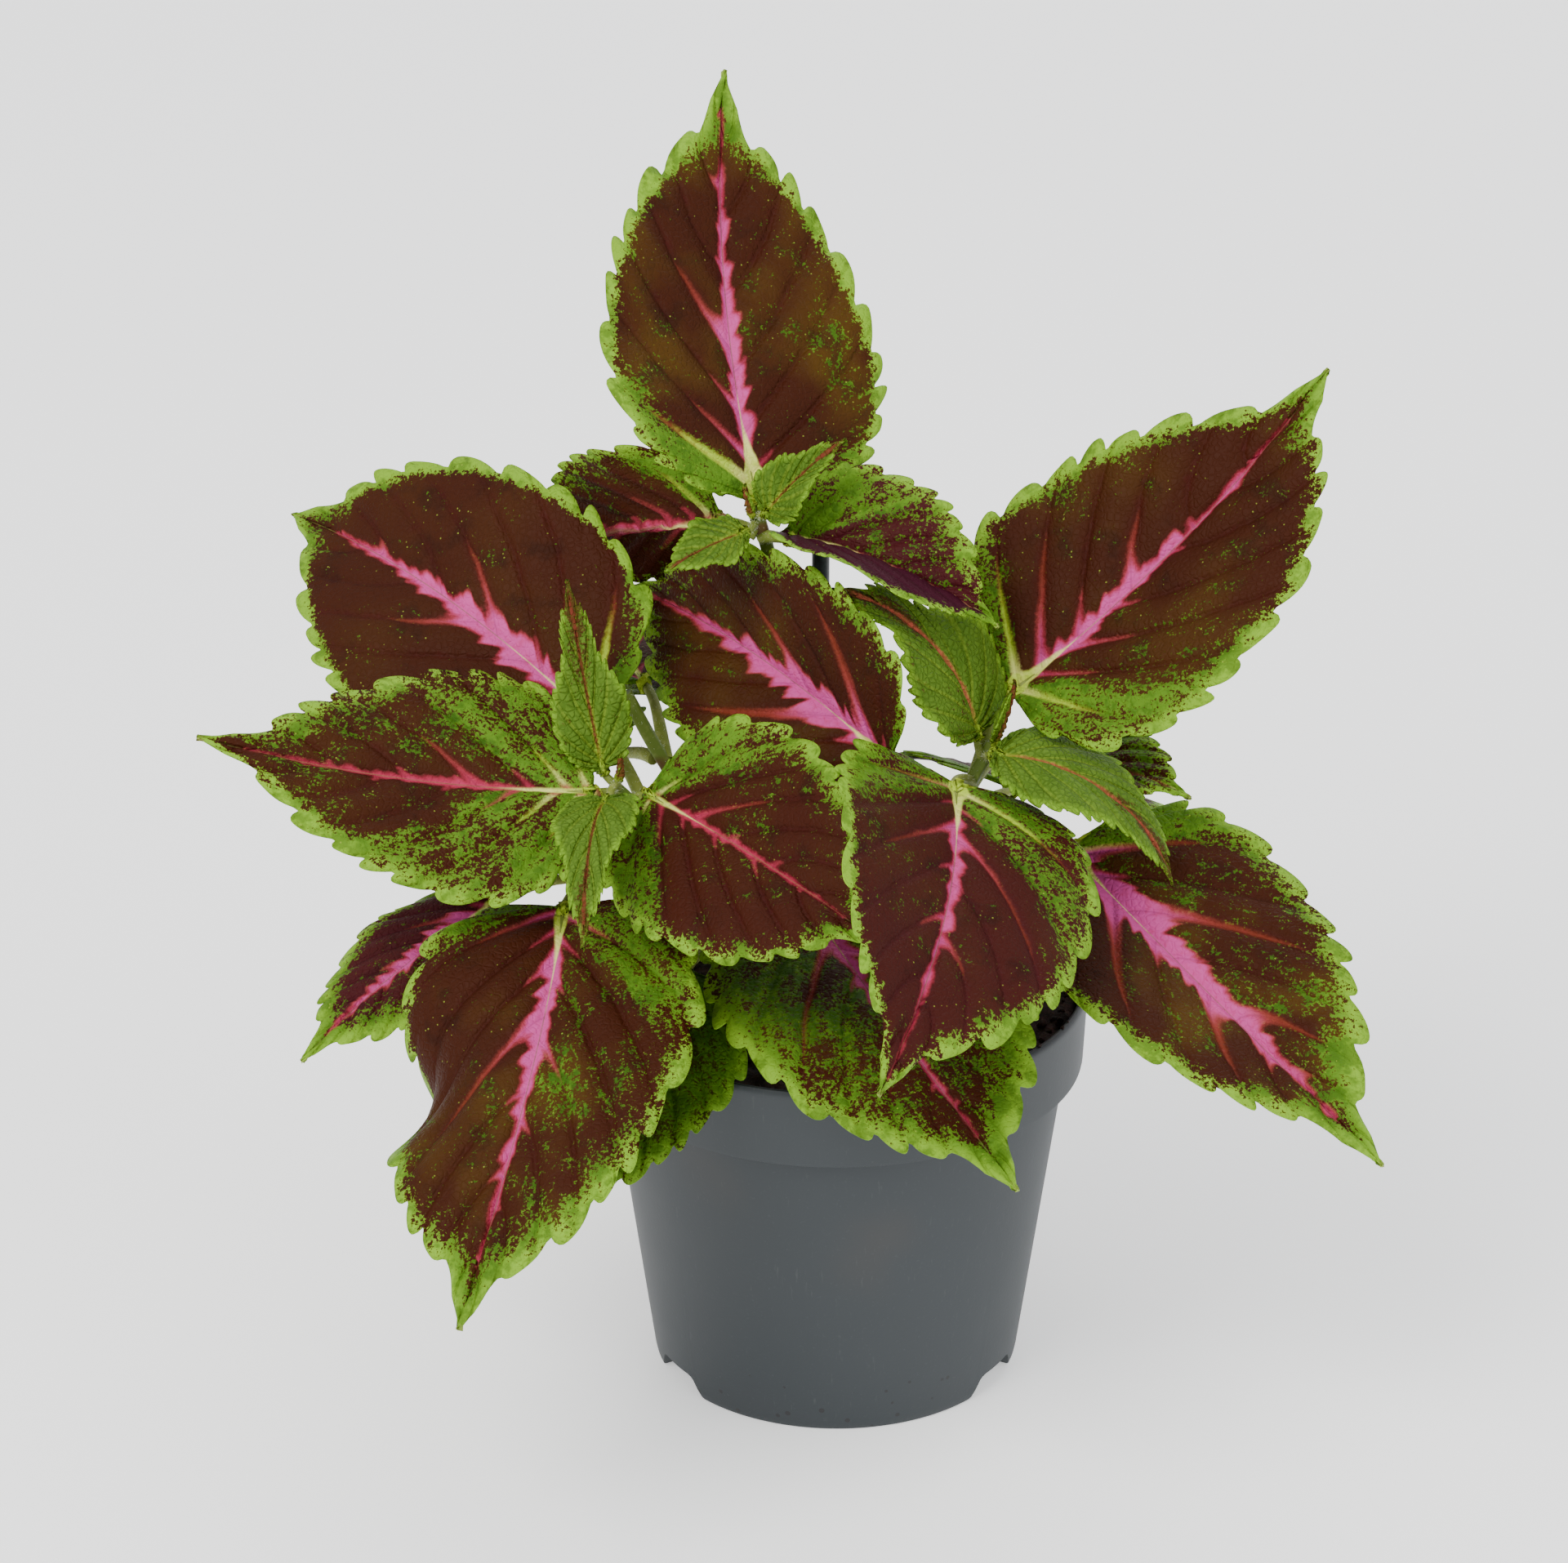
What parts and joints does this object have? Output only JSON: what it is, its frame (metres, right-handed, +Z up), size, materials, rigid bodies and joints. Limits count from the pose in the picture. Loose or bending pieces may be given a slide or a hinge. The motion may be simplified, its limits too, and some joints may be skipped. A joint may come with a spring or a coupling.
{
  "type": "coleus plant in a nursery pot",
  "caption": "Bushy coleus with toothed leaves, maroon and green with pink midribs, on branching stems in the soil of a round grey nursery pot, beside a thin support stake.",
  "frame": {"origin": "on the floor, under the middle of the whole plant's bounding box; the pot's axis stands 11.9 mm to +X and 4 mm to -Y of it", "axes": "+Z up, along the pot's axis; -Y the front; +X to the right of someone who looks at the front"},
  "size_m": [0.2728, 0.2511, 0.2908],
  "materials": {
    "pot_plastic": "satin grey recycled plastic",
    "stake_plastic": "very dark blue-green plastic",
    "soil": "moist dark potting compost, matt and crumbly",
    "stem": "fleshy green stem, finely downy",
    "leaf": "soft satin leaf, maroon with a yellow-green edge and a pink midrib",
    "young_leaf": "soft satin leaf, bright green with dark speckles"
  },
  "bodies": {
    "root": {"pot": "pot_plastic", "soil": "soil", "stake": "stake_plastic", "stems": "stem", "leaf_top_tall": "leaf", "leaf_top_left": "leaf", "leaf_top_right": "leaf", "leaf_top_young_right": "young_leaf", "leaf_top_young_left": "young_leaf", "leaf_middle_back": "leaf", "leaf_left_long": "leaf", "leaf_centre_left": "leaf", "leaf_left_young_up": "young_leaf", "leaf_left_young_down": "young_leaf", "leaf_front_left": "leaf", "leaf_upper_left": "leaf", "leaf_low_left": "leaf", "leaf_under_left": "leaf", "leaf_right_tall": "leaf", "leaf_right_young_left": "young_leaf", "leaf_right_young_right": "young_leaf", "leaf_front_centre": "leaf", "leaf_right_long": "leaf", "leaf_right_behind": "leaf", "leaf_over_pot": "leaf", "leaf_back_right": "leaf", "leaf_back_centre": "leaf", "leaf_back_left": "leaf", "leaf_back_low_left": "leaf", "leaf_back_low_right": "leaf", "leaf_back_low_centre": "leaf"}
  },
  "joints": []
}
